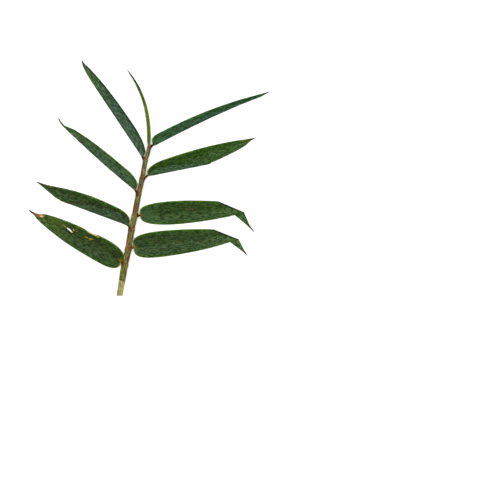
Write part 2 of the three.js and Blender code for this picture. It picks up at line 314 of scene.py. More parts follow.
grain = makeGrain()
spot = makeSpot()


def addGrain(tree, source, along, across, shift=0.0):
    seed = calculate(tree, "ADD", source["seed"], shift)
    return useGroup(tree, grain, {"place": source["place"], "along": along, "across": across, "seed": seed})


def makeWeathered():  # a colour broken up by darker and paler flecks that run along the fibres
    tree, source = startGroup("weathered", {"base": black, "place": None, "contrast": 1.0,
        "dark": (0.42, 0.47, 0.28, 1), "light": (1.8, 1.72, 2.0, 1), "warm": (1.27, 0.97, 0.72, 1),
        "cool": (0.77, 1.03, 1.24, 1), "seed": 0.0}, ["colour", "streak"])
    streaks = addGrain(tree, source, 4.2, 14.0)
    patches = addGrain(tree, source, 1.6, 4.5, 31.0)
    hairs = addGrain(tree, source, 5.6, 20.0, 83.0)
    hues = addGrain(tree, source, 6.0, 12.0, 57.0)
    uneven = product(tree, centred(tree, streaks["fleck"]), 3.6)
    for layer, strength in ((streaks, 4.2), (patches, 2.0), (hairs, 4.4)):
        uneven = product(tree, centred(tree, layer["streak"]), strength, uneven)
    level = product(tree, uneven, source["contrast"], 0.42)
    tint = blend(tree, ramp(tree, level, -0.1, 1.1), source["dark"], source["light"])
    hueTint = blend(tree, ramp(tree, hues["streak"], 0.3, 0.7), source["warm"], source["cool"])
    colour = tinted(tree, source["base"], tinted(tree, tint, hueTint))
    return endGroup(tree, {"colour": colour, "streak": streaks["streak"]})


weathered = makeWeathered()


def weather(tree, source, base, **tints):
    shared = {key: source[key] for key in ("place", "contrast", "seed")}
    return useGroup(tree, weathered, {"base": base, **shared, **tints})


def makeBladeFinish():  # the two halves, saturated margins, dark midrib, yellow foot and dried tip
    colours = dict.fromkeys(("lower", "upper", "far", "margin", "edge", "rib", "foot", "rim", "tip"), black)
    tree, source = startGroup("bladeFinish", {"share": None, "place": None, **colours, "contrast": 1.0,
        "marginWidth": 0.3, "rimShare": 0.8, "split": 0.53, "tipStart": 0.95, "seed": 0.0},
        ["colour", "height", "roughness"])
    x, y = separate(tree, source["share"])[:2]
    fromRib = calculate(tree, "ABSOLUTE", centred(tree, y))
    outward = product(tree, fromRib, 2.0)

    def cover(body, share, colour):
        return blend(tree, share, body, source[colour])

    # each half has its own colour; where the upper half is darker, that is partly the leaf's own colour and
    # partly painted shade from the tilt of the halves
    splitLow, splitHigh = (calculate(tree, "ADD", source["split"], reach) for reach in (-0.13, 0.13))
    body = cover(source["lower"], ramp(tree, y, splitLow, splitHigh), "upper")
    body = tinted(tree, body, cover((1, 1, 1, 1), ramp(tree, x, 0.45, 0.9), "far"))
    marginStart = calculate(tree, "SUBTRACT", 1.0, source["marginWidth"])
    body = cover(body, product(tree, ramp(tree, outward, marginStart, 0.93),
        ramp(tree, y, 0.1, 0.9, 0.65, 0.95)), "margin")
    body = cover(body, product(tree, ramp(tree, outward, 0.9, 0.98),
        ramp(tree, y, 0.1, 0.9, 0.5, 1.0)), "edge")
    worn = weather(tree, source, body)
    veinWave = calculate(tree, "COSINE", product(tree, y, paintedVeins * 2 * pi))
    body = tinted(tree, worn["colour"], ramp(tree, veinWave, -0.2, 1.0, 1.05, 0.8))
    body = cover(body, product(tree, ramp(tree, fromRib, 0.06, 0.015),
        ramp(tree, x, 0.16, 0.05, 0.0, 0.95)), "rib")
    footPlace = product(tree, outward, 0.12, x)
    body = cover(body, ramp(tree, footPlace, 0.05, 0.01), "foot")
    footRim = product(tree, ramp(tree, outward, 0.82, 0.98),
        ramp(tree, x, 0.09, 0.01, 0.0, source["rimShare"]))
    footEdge = ramp(tree, x, 0.014, 0.005, 0.0, source["rimShare"])
    body = cover(body, calculate(tree, "MAXIMUM", footRim, footEdge), "rim")
    ragged = product(tree, centred(tree, worn["streak"]), 0.05, x)
    tipEnd = calculate(tree, "ADD", source["tipStart"], 0.03)
    body = cover(body, ramp(tree, ragged, source["tipStart"], tipEnd), "tip")
    return endGroup(tree, {"colour": body,
        "height": product(tree, veinWave, 0.35, worn["streak"]),
        "roughness": ramp(tree, worn["streak"], 0.3, 0.7, 0.64, 0.48)})


def makeBark():  # culm, sheaths and stalks, brown on one side, with a dark collar at the end
    colours = dict.fromkeys(("main", "side", "collar", "end", "foot"), black)
    tree, source = startGroup("bark", {"share": None, "place": None, **colours, "sideShare": 1.0,
        "endStart": 0.9, "footReach": 0.1, "contrast": 0.8, "seed": 0.0}, ["colour", "height", "roughness"])
    x, y = separate(tree, source["share"])[:2]
    fibres = addGrain(tree, source, 1.6, 24.0)["streak"]
    patches = centred(tree, addGrain(tree, source, 2.6, 9.0, 5.0)["streak"])
    sideways = calculate(tree, "COSINE", product(tree, y, 2 * pi))
    sideLevel = product(tree, patches, 2.2, sideways)
    sideShare = product(tree, source["sideShare"], ramp(tree, x, 0.1, 0.9, 0.75, 1.0))
    sideMask = product(tree, ramp(tree, sideLevel, -0.25, 0.75), sideShare)
    body = blend(tree, sideMask, source["main"], source["side"])
    ragged = product(tree, patches, 0.1, x)
    body = blend(tree, ramp(tree, ragged, source["footReach"], 0.0), body, source["foot"])
    endShare = product(tree, ramp(tree, ragged, source["endStart"], 0.97),
        ramp(tree, sideways, -0.7, 0.3, 0.2, 1.0))
    collar = blend(tree, ramp(tree, sideLevel, 0.1, 0.9), source["collar"], source["end"])
    worn = weather(tree, source, blend(tree, endShare, body, collar), dark=(0.55, 0.5, 0.36, 1),
        light=(1.6, 1.62, 1.75, 1), warm=(1.24, 0.96, 0.8, 1), cool=(0.82, 1.04, 1.16, 1))
    colour = tinted(tree, worn["colour"], ramp(tree, fibres, 0.35, 0.65, 0.72, 1.25))
    return endGroup(tree, {"colour": colour, "height": fibres,
        "roughness": ramp(tree, fibres, 0.3, 0.7, 0.62, 0.45)})


bladeFinish = makeBladeFinish()
bark = makeBark()


# a mark on a piece: its place along and across and its half sizes in millimetres, and its colour
def mark(u, v, long, wide, colour, strength=1.0, turn=0, soft=0.4, ragged=2.0):
    shape = {"long": long / 10, "wide": wide / 10, "turn": -radians(turn), "ragged": ragged, "soft": soft}
    return {"at": (u, v), "shape": shape, "colour": colour, "strength": strength}


# a look's colours are as seen. inside: from where to where another colour takes over
def makeMaterial(name, group, look, marks, piece, inside=None):
    material = bpy.data.materials.new(name)
    material.use_nodes = True
    tree = material.node_tree
    share, place = (addNode(tree, "ShaderNodeUVMap", uv_map=part).outputs[0] for part in ("share", "size"))
    painted = {key: paint(*value) if isinstance(value, tuple) and len(value) == 3 else value
        for key, value in look.items()}
    finish = useGroup(tree, group, {"share": share, "place": place, **painted})
    colour = finish["colour"]
    for spec in marks:
        u, v = spec["at"]
        mask = useGroup(tree, spot, {"place": place, "centre": (u / 10, v / 10, 0), **spec["shape"]})["mask"]
        colour = blend(tree, product(tree, mask, spec["strength"]), colour, paint(*spec["colour"]))
    if inside:
        start, full, shade = inside
        colour = blend(tree, ramp(tree, separate(tree, share)[0], start, full), colour, paint(*shade))
    bumps = {"Strength": 1.0, "Distance": piece["relief"] * mm, "Height": finish["height"]}
    normal = addNode(tree, "ShaderNodeBump", bumps).outputs[0]
    feed(tree, "Principled BSDF", {"Base Color": colour, "Roughness": finish["roughness"],
        "Normal": normal, "Specular IOR Level": piece["shine"]})
    return material


# the stem

stem = {
    "foot": (-3.8, -56.96),  # middle of the cut end
    "pressed": 0.6,  # thickness against width
    # place along, stray to the right, height of the axis, half width of the culm
    "knots": [(0, -0.15, 0.98, 1.48), (5.7, -0.25, 1.2, 1.44), (6.8, -0.27, 1.25, 1.62),
        (7.9, -0.29, 1.3, 1.38), (15.6, -0.42, 1.46, 1.34), (24, -0.24, 1.5, 1.32),
        (34, -0.5, 1.5, 1.27), (41, -0.3, 1.48, 1.17), (52, -0.4, 1.42, 1.06),
        (60, -0.14, 1.34, 0.98), (69, -0.3, 1.24, 0.86), (71.5, 0.12, 1.2, 0.78), (74.7, 0.27, 1.14, 0.7)],
    "end": 74.7,
}


def stemAt(y):  # stray to the right, height of the axis, half width of the culm
    return [along(stem["knots"], y, column) for column in (1, 2, 3)]


def placed(x, y, z, side=1):  # from the stem's own place to the frame, in metres
    return Vector(((side * x + stem["foot"][0]) * mm, (y + stem["foot"][1]) * mm, z * mm))


def roundCulm(place, angle, out, shift, reach=1, side=1):  # so far out from the culm's surface
    x, height, half = stemAt(place)
    across, up = (half + out) * reach, (half * stem["pressed"] + out) * reach
    return placed(side * x + across * cos(angle), place + shift, height + up * sin(angle), side)


culm = {
    "cuts": (44, 150), "crowding": 1.6,  # sides and rings, which stand closer at the foot
    "ridge": 0.02, "ridges": 17,  # fibre ridges along the culm
    "ring": (0.1, 6.2, 0.35), "groove": (-0.06, 7.2, 0.3),  # height, place and width
    "inset": 0.45, "sunk": 0.006, "rim": 0.9, "pith": 0.35,  # the pith is sunk a little in the cut end
    "frayed": 0.12, "cut": 0.28, "cutBack": 0.12,  # the foot is cut a little aslant
    "look": {"main": (178, 174, 112), "side": (170, 167, 104), "sideShare": 0.25, "collar": (170, 167, 104),
        "end": (170, 167, 104), "endStart": 0.98, "foot": (178, 174, 112), "footReach": 0.001,
        "contrast": 0.5, "seed": 3.0},
    "marks": [mark(6, 7.9, 1.9, 0.7, (104, 108, 46), 0.8), mark(7.4, 4.9, 0.5, 0.7, (112, 78, 32), 0.85)],
    "inside": (7.3 / stem["end"], 7.9 / stem["end"], (100, 78, 30)),  # inside the lowest sheath
    "girth": 8, "relief": 0.06, "shine": 0.1,
}


def makeCulm():
    piece = addRod("stemCulm", *culm["cuts"])
    end = stem["end"]

    def maps(point, middle):
        share, turn = point.z ** culm["crowding"], rodTurn(point, middle) + 0.5
        return (share, turn), (share * end / 10, turn * culm["girth"] / 10)

    def move(x, y, z):
        reach, angle = hypot(x, y), atan2(y, x)
        place = end * z ** culm["crowding"] if z > 0 else 0
        if reach < culm["rim"]:
            place = culm["pith"] if z < 0.5 else end
        ridge = culm["ridge"] * cos(culm["ridges"] * angle + 0.3 * sin(place))
        out = bump(place, *culm["ring"]) + bump(place, *culm["groove"]) + ridge
        frayed = culm["frayed"] * rough(x * 2, y * 2, 4)
        slant = frayed + culm["cut"] * x - culm["cutBack"] if z < 0.001 else 0
        return roundCulm(place, angle, out, slant, reach)

    writeMaps(piece, maps)
    selectPoints(piece, lambda point: point.co.z < 0.001)
    bpy.ops.mesh.inset(thickness=culm["inset"])
    bpy.ops.transform.translate(value=(0, 0, culm["sunk"]))
    leaveEdit()
    reshape(piece, move)
    finishPiece(piece, 50, makeMaterial("driedCulm", bark, culm["look"], culm["marks"], culm, culm["inside"]))
    handOver(piece, "culm")


makeCulm()


# leaves

blade = {
    "cuts": (132, 76), "crowding": 0.8,  # rows along and across, closer at both ends
    "thick": 0.26, "middle": 0.18,  # the sheet's thickness, and the height of its middle
    "ribDepth": 0.1, "ribWidth": 0.2,  # groove over the midrib
    "veins": 6, "veinDepth": 0.018, "cockle": 0.05,  # veins of each half
    "thinEnd": 0.28, "thinFrom": 0.93, "sharpTip": 0.05, "awnTaper": 0.65,
    "torn": ((0.22, 1.1, 2), (0.16, 3.1, 7)), "holeRagged": 0.16,  # a bitten margin: depth, how often, seed
    "flatShare": 0.35, "upperPhase": 0.6, "lowerPhase": 2.1, "footLift": 0.55, "footFade": 4.5,
    "layer": 0.45, "rise": 0.2,  # a tucked tip lifts the blade by this, from so far before it
    "gape": 0.1, "room": 0.12, "flapEnd": 0.06,  # a flap stands open, and keeps from the other margin
    "bendSteps": 5, "bendPitch": 0.146, "bendReach": 0.16,  # a crease is bent in steps, this far apart
    "relief": 0.04, "shine": 0.06,
    "look": {"margin": (54, 90, 12), "edge": (86, 124, 24), "rib": (30, 46, 26), "foot": (132, 110, 26),
        "rim": (126, 130, 30), "tip": (84, 62, 36), "far": (1.25, 1.22, 1.1, 1)},
    "underLook": {"rib": (90, 112, 70), "marginWidth": 0.1, "rimShare": 0.0},
}

# side: 1 right, -1 left. mouth: top of the sheath. foot, turn, length: where the blade starts and how it
# stands. upper, lower: half width, roundness at the foot and sharpness at the tip, beside the midrib. bow:
# stray of the midrib. wave: height and number. awn: start, half width and slope of the drawn-out tip. tuck:
# where the crease of a tip turned under starts and ends. flap: the lower side folded over. hole, bites:
# place, half sizes and turn. bark: the sheath, with its marks placed by the angle round it.
plainLeaf = {"bow": (0, 1, 1), "tuck": None, "flap": None, "bites": [], "stalk": "dark", "underLook": {},
    "marks": [], "underMarks": []}
# each look's lower and upper colours paint the two halves of the blade; a darker upper half is partly painted
# shade
leaves = [
    {"name": "leafLeft1", "node": "leaf_left_1", "side": -1, "mouth": 16.5, "foot": (2.25, 17.0),
     "turn": 72.2, "length": 53.4, "upper": (6.15, 2.8, 0.85), "lower": (6.2, 4.05, 1.09), "widest": 0.29,
     "taper": 2.84, "bow": (-0.68, 1, 12), "wave": (0.5, 2.2), "awn": (0.93, 0.62, 0.42), "stalk": "golden",
     "hole": (30.6, 1.5, 1.65, 0.34, 9), "bites": [(20.2, 6.25, 4.6, 0.9, -5), (48.8, 1.6, 3.2, 0.75, -16)],
     "look": {"lower": (60, 80, 45), "upper": (50, 68, 32), "far": (1.7, 1.68, 1.05, 1), "contrast": 1.45,
      "tipStart": 1.1},
     "under": (66, 88, 58),
     "bark": {"main": (104, 112, 44), "side": (104, 112, 44), "foot": (96, 84, 28)},
     "barkMarks": [mark(10.5, 180, 2.4, 1.1, (140, 136, 104), 0.7),
      mark(14.3, 20, 1.4, 1.1, (122, 106, 88), 0.8), mark(15.7, 8, 0.8, 0.9, (62, 34, 18)),
      mark(15.4, 70, 1.2, 0.4, (110, 62, 22)), mark(13.9, 140, 2.6, 0.9, (146, 130, 80), 0.85, -14),
      mark(9.6, 100, 1.6, 0.7, (116, 134, 74), 0.6)],
     "marks": [mark(39, 2.6, 8, 3, (82, 104, 44), 0.6, soft=0.9),
      mark(50.2, 0.5, 5.6, 1.7, (136, 100, 62), turn=-16), mark(52, -0.1, 1.2, 0.7, (84, 66, 46), turn=-10),
      mark(46.4, 0.9, 2.2, 1.0, (176, 116, 58), turn=-20),
      mark(45.9, 0.85, 1.1, 0.42, (236, 212, 186), turn=-16),
      # the first mark here is a painted shadow: a dark green patch beside the hole
      mark(30.8, 0.6, 2.2, 0.7, (20, 34, 12), 0.75, 6), mark(30.7, 1.6, 2.2, 0.62, (120, 92, 44), turn=9),
      mark(29.3, 1.15, 0.8, 0.42, (240, 208, 138), turn=9, ragged=1.2),
      mark(28.7, 2.4, 0.65, 0.36, (208, 166, 100), turn=50, ragged=1.2),
      mark(33.7, 2.05, 1.5, 0.22, (168, 138, 92), turn=9, ragged=1.2),
      mark(27.1, 2.55, 0.5, 0.3, (128, 96, 40)),
      mark(21.5, 2.1, 1.4, 0.3, (160, 132, 34), turn=-9, ragged=1.4),
      mark(19, 2.5, 1.5, 0.34, (176, 146, 52), turn=-21, ragged=1.4),
      mark(19.2, 1.95, 0.7, 0.3, (150, 114, 30), turn=60, ragged=1.2),
      mark(24.6, 5.15, 3.2, 0.36, (128, 104, 36), 0.8, -3),
      mark(19.2, 5.2, 3.8, 0.4, (230, 200, 164), turn=-4, ragged=1.4),
      mark(16.4, 5.2, 0.9, 0.36, (190, 132, 62), turn=35), mark(1.5, -0.2, 1.2, 0.3, (120, 116, 28), turn=12),
      mark(1.2, 1, 0.6, 0.8, (84, 102, 24), 0.7), mark(5, 0.9, 3, 0.35, (24, 38, 14), 0.8, 6),
      mark(4.5, -2.6, 3, 2, (62, 92, 26), 0.6, soft=0.9), mark(13, -2, 2.5, 2, (74, 88, 70), 0.5, soft=0.9),
      mark(38.8, 1.5, 2.2, 0.3, (96, 92, 50), 0.7, 6)]},
    {"name": "leafRight1", "node": "leaf_right_1", "side": 1, "mouth": 24.6, "foot": (2.08, 25.01),
     "turn": 72.6, "length": 62.3, "upper": (6.65, 3.9, 1.42), "lower": (6.5, 3.9, 1.41), "widest": 0.34,
     "taper": 3.15, "wave": (0.45, 1.7), "awn": (0.945, 0.4, 0.25), "tuck": (0.6531, 0.8408),
     "stalk": "golden",
     "look": {"lower": (62, 84, 52), "upper": (52, 73, 38), "far": (1.62, 1.56, 1.35, 1), "contrast": 1.35},
     "under": (60, 86, 46),
     "underLook": {"margin": (42, 72, 14), "marginWidth": 0.5, "edge": (98, 96, 28), "tipStart": 0.92},
     "bark": {"main": (118, 118, 66), "side": (112, 84, 50)},
     "barkMarks": [mark(17.1, 88, 1.3, 0.8, (146, 122, 80), 0.8),
      mark(21.9, 130, 1.8, 1.5, (94, 96, 46), 0.7), mark(24.3, 128, 0.8, 0.6, (160, 118, 82), 0.8),
      mark(23.6, 40, 1.1, 0.8, (124, 80, 26))],
     # the first mark is painted shade: a dark green band beside the crease of the tucked tip, where the blade
     # bends down
     "marks": [mark(45.4, 1.35, 7, 0.62, (32, 56, 4), turn=-27, soft=0.6),
      mark(22.5, 0.2, 1.4, 0.5, (92, 86, 46), 0.6, 10), mark(12, 1.8, 2.6, 0.4, (74, 62, 42), 0.6, -38),
      mark(3.2, 2, 2.6, 1.8, (62, 96, 60), 0.5, soft=0.9), mark(33, -0.6, 3, 0.4, (78, 64, 44), 0.5, 4)]},
    {"name": "leafLeft2", "node": "leaf_left_2", "side": -1, "mouth": 34.6, "foot": (2.6, 35.1), "turn": 75.4,
     "length": 50.8, "upper": (5.73, 2.45, 1.9), "lower": (4.6, 2.45, 0.7), "widest": 0.17, "taper": 3.5,
     "bow": (0.4, 1, 4), "wave": (0.4, 1.3), "awn": (0.965, 0.55, 0.27),
     "flap": {"to": 0.68, "start": 0.02, "drop": 3.44, "wide": 5.1, "fade": 3.5},
     "look": {"lower": (54, 76, 44), "upper": (49, 70, 34), "far": (1.25, 1.2, 1.05, 1), "contrast": 1.7,
      "tipStart": 0.93},
     "under": (60, 82, 54), "underLook": {"margin": (64, 62, 40), "marginWidth": 0.12, "edge": (72, 60, 42)},
     "bark": {"main": (110, 108, 56), "side": (108, 84, 50)},
     "barkMarks": [mark(25.4, 60, 1.6, 0.8, (160, 118, 84), 0.8),
      mark(26.2, 100, 1.1, 0.8, (112, 86, 30), 0.8), mark(33.4, 78, 1.1, 0.8, (96, 64, 18)),
      mark(33.7, 16, 1.1, 1.1, (56, 34, 18), 0.8), mark(34.5, 24, 0.35, 0.3, (176, 134, 36))],
     "marks": [mark(31.5, 0.9, 1.2, 0.6, (88, 74, 38), 0.7), mark(20, 1.5, 6, 0.3, (68, 62, 38), 0.5, -4),
      mark(3.6, 2.2, 4.4, 2.6, (66, 94, 44), 0.75, soft=0.9), mark(44.5, 0.6, 2.6, 0.9, (96, 98, 28), 0.7)]},
    {"name": "leafRight2", "node": "leaf_right_2", "side": 1, "mouth": 41.5, "foot": (2.3, 41.2),
     "turn": 74.4, "length": 63.1, "upper": (6.07, 4.1, 1.6), "lower": (6.12, 3, 1.0), "widest": 0.477,
     "taper": 3.02, "wave": (0.45, 1.5), "awn": (0.93, 0.42, 0.3), "tuck": (0.621, 0.8185),
     "look": {"lower": (63, 88, 49), "upper": (50, 74, 33), "far": (1.55, 1.48, 1.4, 1), "contrast": 1.35,
      "split": 0.45},
     "under": (58, 84, 46), "underLook": {"margin": (42, 72, 14), "marginWidth": 0.5, "tipStart": 0.93},
     "bark": {"main": (126, 126, 66), "side": (110, 84, 42), "foot": (128, 98, 34)},
     "barkMarks": [mark(39, 60, 2, 1.2, (116, 110, 48), 0.7), mark(40.7, 14, 0.9, 0.9, (60, 38, 18), 0.8),
      mark(41.4, 24, 0.35, 0.3, (176, 134, 36))],
     # the first mark is painted shade: a dark green band beside the crease of the tucked tip, where the blade
     # bends down
     "marks": [mark(44.4, 0.85, 7.4, 0.62, (30, 52, 4), turn=-27, soft=0.6),
      mark(4, 0, 5, 5, (76, 106, 66), 0.65, soft=0.9), mark(14, 0.4, 6, 1, (32, 52, 12), 0.6, 3, soft=0.8),
      mark(26, 1, 3.5, 0.5, (80, 72, 58), 0.45, -6)]},
    {"name": "leafLeft3", "node": "leaf_left_3", "side": -1, "mouth": 52.8, "foot": (2.7, 53.3), "turn": 57.5,
     "length": 52.7, "upper": (5.36, 2.3, 1.18), "lower": (5, 2.3, 1.18), "widest": 0.188, "taper": 3.48,
     "bow": (-1.55, 3, 25), "wave": (0.3, 1.5), "awn": (0.905, 0.44, 0.42),
     "flap": {"to": 1, "start": 0.2, "drop": 0, "wide": 4.75, "fade": 0},
     "look": {"lower": (62, 87, 58), "upper": (58, 88, 40), "far": (1.12, 1.12, 0.9, 1), "contrast": 1.1,
      "tipStart": 0.93, "margin": (68, 104, 40), "edge": (98, 134, 52), "rimShare": 0.6},
     "under": (67, 92, 65),
     "bark": {"main": (116, 114, 66), "side": (112, 76, 46)},
     "barkMarks": [mark(43, 10, 3, 1.6, (108, 74, 46), 0.7), mark(44, 100, 3, 1.7, (112, 80, 46), 0.75),
      mark(48.2, 136, 4.6, 0.7, (92, 76, 38), 0.75), mark(49, 40, 2.2, 0.9, (108, 106, 66), 0.7),
      mark(51.7, 34, 1.3, 1.6, (70, 46, 27), 0.85), mark(52.7, 24, 0.35, 0.3, (176, 134, 36))],
     "underMarks": [mark(3, -2.5, 4, 2.2, (64, 96, 40), 0.7, soft=0.9),
      mark(37.7, -2.4, 1.7, 0.8, (92, 86, 66), 0.7), mark(0.4, -0.5, 0.7, 0.45, (190, 146, 58))]},
    {"name": "leafRight3", "node": "leaf_right_3", "side": 1, "mouth": 60.4, "foot": (2.3, 61.6),
     "turn": 59.65, "length": 56.9, "upper": (4.82, 2.5, 1.25), "lower": (5.15, 2.5, 0.74), "widest": 0.187,
     "taper": 3.19, "wave": (0.4, 1.6), "awn": (0.955, 0.62, 0.42),
     "flap": {"to": 0.56, "start": 0.4, "drop": 4.54, "wide": 3.5, "fade": 4},
     "look": {"lower": (59, 85, 43), "upper": (47, 76, 28), "far": (1.35, 1.42, 1.5, 1), "contrast": 1.25,
      "tipStart": 0.93},
     "under": (63, 89, 61),
     "bark": {"main": (106, 104, 56), "side": (98, 78, 50), "foot": (100, 72, 36)},
     "barkMarks": [mark(53.1, 92, 0.8, 0.6, (166, 138, 82), 0.9),
      mark(54.2, 70, 1.9, 1.8, (122, 94, 50), 0.7), mark(60, 22, 0.9, 1.4, (60, 36, 15), 0.9),
      mark(60.4, 44, 0.4, 0.5, (190, 150, 56))],
     "marks": [mark(51, 0.9, 2.4, 0.5, (118, 134, 34), 0.8)],
     # the first under mark is a painted shadow: a dark band along the fold line of the flap
     "underMarks": [mark(16, -2.5, 16, 0.5, (40, 68, 50), 0.6, -8, soft=0.9),
      mark(0.4, -0.6, 0.7, 0.45, (176, 136, 44))]},
    {"name": "leafLeft4", "node": "leaf_left_4", "side": -1, "mouth": 69.8, "foot": (2.3, 70.3), "turn": 43,
     "length": 56.8, "upper": (5.2, 2.5, 0.71), "lower": (5, 2.5, 0.71), "widest": 0.32, "taper": 3.8,
     "bow": (-1.79, 1, 14), "wave": (0.3, 1.4), "awn": (0.985, 0.34, 0.42),
     "flap": {"to": 1, "start": 0.2, "drop": 0, "wide": 4.85, "fade": 0},
     "look": {"lower": (64, 89, 64), "upper": (60, 88, 58), "far": (1.12, 1.16, 0.62, 1), "contrast": 1.0,
      "tipStart": 0.965, "margin": (58, 88, 56), "edge": (58, 92, 54), "rimShare": 0.2},
     "under": (68, 93, 72),
     "bark": {"main": (114, 116, 68), "side": (100, 80, 50)},
     "barkMarks": [mark(62, 30, 2, 1, (106, 78, 52), 0.75), mark(61.9, 112, 0.7, 0.6, (136, 114, 44), 0.9),
      mark(69.3, 16, 1.1, 1.3, (64, 42, 22), 0.9), mark(69.7, 42, 0.35, 0.35, (144, 104, 50))]},
    {"name": "leafRight4", "node": "leaf_right_4", "side": 1, "mouth": 76.5, "foot": (1.95, 77.25),
     "turn": 54.6, "length": 64.4, "upper": (3.85, 2.7, 1.265), "lower": (4, 2.7, 1.265), "widest": 0.072,
     "taper": 2.43, "bow": (1.77, 2, 3), "wave": (0.3, 1.8), "awn": (0.94, 0.5, 0.2),
     "flap": {"to": 1, "start": 0.8, "drop": 0, "wide": 3.4, "fade": 0},
     "look": {"lower": (54, 88, 56), "upper": (57, 94, 53), "far": (1.04, 1.06, 1.15, 1), "contrast": 0.9,
      "tipStart": 0.935, "margin": (56, 92, 46), "edge": (78, 116, 42), "rim": (74, 118, 26)},
     "under": (54, 86, 59),
     "bark": {"main": (122, 118, 72), "side": (86, 66, 46)},
     "barkMarks": [mark(75.6, 24, 1.2, 1.3, (60, 40, 22), 0.9), mark(70, 150, 1.4, 1, (134, 124, 82), 0.6)],
     "underMarks": [mark(3.5, -2.6, 4.5, 2.4, (68, 102, 56), 0.75, soft=0.9),
      # the first mark on this line is painted shade: a dark green band along the fold of the flap
      mark(28, -0.95, 27, 0.42, (32, 62, 38), 0.7, soft=0.8), mark(61, -0.6, 3, 1, (50, 40, 34), 0.8),
      mark(0.5, -1, 0.9, 0.6, (112, 126, 34))]},
]


def halfWidth(leaf, x, form=None):
    half, roundness, sharpness = form or leaf["upper"]
    x = clamp(x)
    foot = (1 - max(0, 1 - x / leaf["widest"]) ** roundness) ** (1 / roundness)
    end = smooth(x, blade["thinFrom"], 1)
    least = blade["thinEnd"] if x < 0.5 else lerp(blade["thinEnd"], blade["sharpTip"], end)
    width = max(least, half * foot * (1 - x ** leaf["taper"]) ** sharpness)
    start, thin, slope = leaf["awn"]  # the tip is drawn out into a thin dry point
    beyond = (x - start) / (1 - start)
    return min(width, thin * (1 - blade["awnTaper"] * beyond) if beyond > 0
        else thin + slope * (start - x) * leaf["length"])


def biteEdge(at, u, v, long, wide, turn):  # the inner edge of a bite in the margin, None beside it
    turn, away = radians(turn), at - u
    square = (sin(turn) / long) ** 2 + (cos(turn) / wide) ** 2
    single = away * sin(2 * turn) * (1 / long ** 2 - 1 / wide ** 2)
    rest = away ** 2 * ((cos(turn) / long) ** 2 + (sin(turn) / wide) ** 2) - 1
    inside = single ** 2 - 4 * square * rest
    return v - (single + sqrt(inside)) / (2 * square) if inside > 0 else None


def upperMargin(leaf, x):  # upper half width with the bites taken off
    width, u = halfWidth(leaf, x), x * leaf["length"]
    for bite in leaf["bites"]:
        edge = biteEdge(u, *bite)
        if edge is not None:
            torn = sum(deep * rough(u * often, 0, kind) for deep, often, kind in blade["torn"])
            width = min(width, max(edge + torn, blade["sharpTip"]))
    return width


def lowerEdge(leaf, x):  # lower edge of the part that lies flat
    margin, flap = -halfWidth(leaf, x, leaf["lower"]), leaf["flap"]
    if flap and x < flap["to"]:
        return max(-flap["start"] - flap["drop"] * (x / flap["to"]), margin)
    return margin


def flapWidth(leaf, x):  # width of the folded side
    flap = leaf["flap"]
    if not flap or x >= flap["to"]:
        return 0
    margin = halfWidth(leaf, x, (flap["wide"], *leaf["upper"][1:]))
    if flap["fade"]:
        margin *= 1 - (x / flap["to"]) ** flap["fade"]
    room = halfWidth(leaf, x) - lowerEdge(leaf, x)
    least = blade["thinEnd"] / 2 * smooth(flap["to"] - x, 0, blade["flapEnd"])
    return min(max(margin, least, blade["sharpTip"] / 4), max(room - blade["room"], blade["sharpTip"]))


def bladePlace(leaf, u, v):
    heading = radians(leaf["turn"])
    x = clamp(u / leaf["length"])
    bow, start, end = leaf["bow"]
    across = v + bow * (1 - (1 - x) ** start) * (1 - x ** end)
    return (leaf["foot"][0] + u * sin(heading) - across * cos(heading),
        leaf["foot"][1] + u * cos(heading) + across * sin(heading))


def bladeHeight(leaf, u, v, waving=1.0):
    x = clamp(u / leaf["length"])
    outward = abs(v) / halfWidth(leaf, x)
    edge = clamp((outward - blade["flatShare"]) / (1 - blade["flatShare"]), 0, 1.2)
    height, waves = leaf["wave"]
    phase = blade["upperPhase"] if v > 0 else blade["lowerPhase"]
    wave = height * edge ** 2 * (0.5 - 0.5 * cos(2 * pi * waves * x + phase))
    calm = min(1, 8 * x, 6 * (1 - x))  # no waves at the ends
    foot = blade["footLift"] * max(0, 1 - u / blade["footFade"]) ** 2
    over = smooth(x, leaf["tuck"][0] - blade["rise"], leaf["tuck"][0]) if leaf["tuck"] else 0
    return blade["middle"] + foot + wave * calm * waving + blade["layer"] * over


def creaseEnds(leaf):  # start and end of the crease, on the flat blade
    length, flap = leaf["length"], leaf["flap"]
    if flap:
        return (0, -flap["start"]), (flap["to"] * length, -flap["start"] - flap["drop"])
    start, end = leaf["tuck"]
    return (start * length, halfWidth(leaf, start)), (end * length, -halfWidth(leaf, end, leaf["lower"]))


def foldBlade(piece, leaf):
    start, end = (Vector((*point, 0)) for point in creaseEnds(leaf))
    line = atan2(end.y - start.y, end.x - start.x)
    flat = Matrix.Rotation(-line, 4, "Z") @ Matrix.Translation(-start)
    piece.data.transform(flat)
    far = -1 if leaf["flap"] else 1  # the side of the crease that is folded
    gape = atan(blade["gape"]) if leaf["flap"] else 0
    steps = blade["bendSteps"]
    lines = [far * (step * blade["bendPitch"] - blade["bendReach"]) for step in range(steps)]
    for y in lines:
        editWhole(piece, bpy.ops.mesh.bisect, plane_co=(0, y, 0), plane_no=(0, 1, 0))
    beyond = [far * point.co.y for point in piece.data.vertices]
    for y in reversed(lines):
        selectPoints(piece, lambda point: beyond[point.index] > far * y + 0.001)
        bpy.ops.transform.rotate(value=(pi - gape) / steps, orient_axis="X", center_override=(0, y, 0))
        leaveEdit()
    piece.data.transform(flat.inverted())


